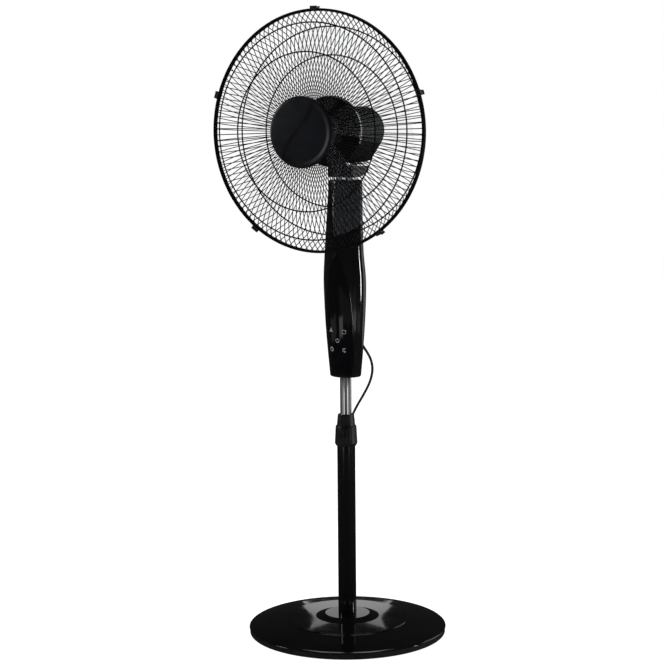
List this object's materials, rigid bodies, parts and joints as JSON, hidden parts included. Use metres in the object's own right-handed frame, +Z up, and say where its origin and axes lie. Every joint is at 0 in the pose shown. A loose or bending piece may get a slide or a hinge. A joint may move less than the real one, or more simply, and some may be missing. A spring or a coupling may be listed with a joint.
{
  "type": "pedestal fan",
  "caption": "Pedestal fan: wire guard, clear blades, swinging and tilting motor head, touch-control column, sliding chrome tube, clamp collar and weighted round base.",
  "frame": {"origin": "middle of the base on the floor, on the pole axis", "axes": "+Z up along the pole; the fan faces -Y; +X is the user's left when facing the fan"},
  "size_m": [0.445, 0.5148, 1.1938],
  "materials": {
    "gloss_black": "high-gloss moulded black plastic",
    "matte_black": "fine-textured moulded black plastic",
    "panel_gloss": "polished black acrylic with pale printed icons",
    "badge_black": "satin blue-black plastic",
    "black_enamel": "gloss black enamel on steel tube",
    "black_wire": "black powder-coated steel wire",
    "chrome": "bright chrome plate",
    "steel": "zinc-plated steel",
    "aluminium": "die-cast aluminium",
    "bronze": "sintered bronze",
    "copper": "lacquered copper wire",
    "rubber": "black soft rubber",
    "cord_sheath": "black flexible cord sheath",
    "plug_body": "moulded black plug",
    "nylon": "natural nylon",
    "circuit_board": "green circuit board",
    "capacitor_case": "pale capacitor case",
    "clear_blade": "clear smoke-tinted blade plastic"
  },
  "bodies": {
    "stand": {"base_feet": "rubber", "base_tray": "matte_black", "base_weight": "steel", "base_cover": "gloss_black", "base_screws": "steel", "pole_socket": "matte_black", "pole_bolt": "steel", "pole_washer": "steel", "pole_plug": "steel", "lower_pole": "black_enamel", "collet_sleeve": "matte_black", "power_cord": "cord_sheath", "cord_hank": "cord_sheath", "mains_plug": "plug_body"},
    "collar": {"height_collar": "matte_black"},
    "column": {"upper_tube": "chrome", "tube_end_stop": "matte_black", "tube_socket": "aluminium", "column_frame": "steel", "column_front": "gloss_black", "column_rear": "gloss_black", "column_screws": "steel", "control_panel": "panel_gloss", "control_board": "circuit_board", "run_capacitor": "capacitor_case", "strain_relief": "rubber", "tilt_bolt": "steel", "tilt_nut": "steel"},
    "neck": {"neck_tongue": "steel", "neck_housing": "gloss_black", "swivel_bush": "nylon"},
    "head": {"swivel_stem": "steel", "motor_front_cover": "gloss_black", "motor_trim_ring": "chrome", "motor_rear_cover": "gloss_black", "stator_core": "steel", "stator_windings": "copper", "motor_bells": "aluminium", "motor_bushes": "bronze", "motor_screws": "steel", "swing_motor": "steel", "rear_grille": "black_wire", "front_grille": "black_wire", "grille_nut": "matte_black", "front_badge": "badge_black", "rim_clip_mounts": "matte_black", "clip_pins": "steel"},
    "crank": {"swing_crank": "nylon"},
    "link": {"swing_link": "steel"},
    "rotor": {"rotor_core": "steel", "motor_shaft": "steel", "fan_blade": "clear_blade", "blade_spinner": "matte_black"},
    "clip_1": {"rim_clip_1": "matte_black"},
    "clip_2": {"rim_clip_2": "matte_black"},
    "clip_3": {"rim_clip_3": "matte_black"},
    "clip_4": {"rim_clip_4": "matte_black"},
    "clip_5": {"rim_clip_5": "matte_black"}
  },
  "joints": [
    {"name": "height_slide", "type": "slide", "parent": "stand", "child": "column", "axis": [0, 0, 1], "range_m": [-0.07, 0.2]},
    {"name": "collar_turn", "type": "hinge", "parent": "stand", "child": "collar", "pos_m": [0, 0, 0.385], "axis": [0, 0, 1], "range_deg": [0, 120]},
    {"name": "head_tilt", "type": "hinge", "parent": "column", "child": "neck", "pos_m": [0, 0.002, 0.856], "axis": [1, 0, 0], "range_deg": [-15, 12]},
    {"name": "head_swing", "type": "hinge", "parent": "neck", "child": "head", "pos_m": [0, 0, 0.9], "axis": [0, 0, 1], "range_deg": [-40, 40]},
    {"name": "crank_turn", "type": "hinge", "parent": "head", "child": "crank", "pos_m": [0, 0.056, 0.9037], "axis": [0, 0, 1], "range_deg": [-91, 91]},
    {"name": "link_turn", "type": "hinge", "parent": "crank", "child": "link", "pos_m": [-0.01286, 0.056, 0.90125], "axis": [0, 0, 1], "range_deg": [-91, 91]},
    {"name": "fan_spin", "type": "hinge", "parent": "head", "child": "rotor", "pos_m": [0, -0.095, 0.967], "axis": [0, -1, 0], "continuous": true},
    {"name": "clip_1_lift", "type": "hinge", "parent": "head", "child": "clip_1", "pos_m": [0, -0.1094, 1.192], "axis": [1, 0, 0], "range_deg": [0, 110]},
    {"name": "clip_2_lift", "type": "hinge", "parent": "head", "child": "clip_2", "pos_m": [0.21399, -0.1094, 1.03653], "axis": [0.309, 0, -0.9511], "range_deg": [0, 110]},
    {"name": "clip_3_lift", "type": "hinge", "parent": "head", "child": "clip_3", "pos_m": [0.13225, -0.1094, 0.78497], "axis": [-0.809, 0, -0.5878], "range_deg": [0, 110]},
    {"name": "clip_4_lift", "type": "hinge", "parent": "head", "child": "clip_4", "pos_m": [-0.13225, -0.1094, 0.78497], "axis": [-0.809, 0, 0.5878], "range_deg": [0, 110]},
    {"name": "clip_5_lift", "type": "hinge", "parent": "head", "child": "clip_5", "pos_m": [-0.21399, -0.1094, 1.03653], "axis": [0.309, 0, 0.9511], "range_deg": [0, 110]}
  ],
  "couplings": [
    {"joint": "crank_turn", "follows": "head_swing", "ratio": -2.25},
    {"joint": "link_turn", "follows": "head_swing", "ratio": 2.25}
  ]
}
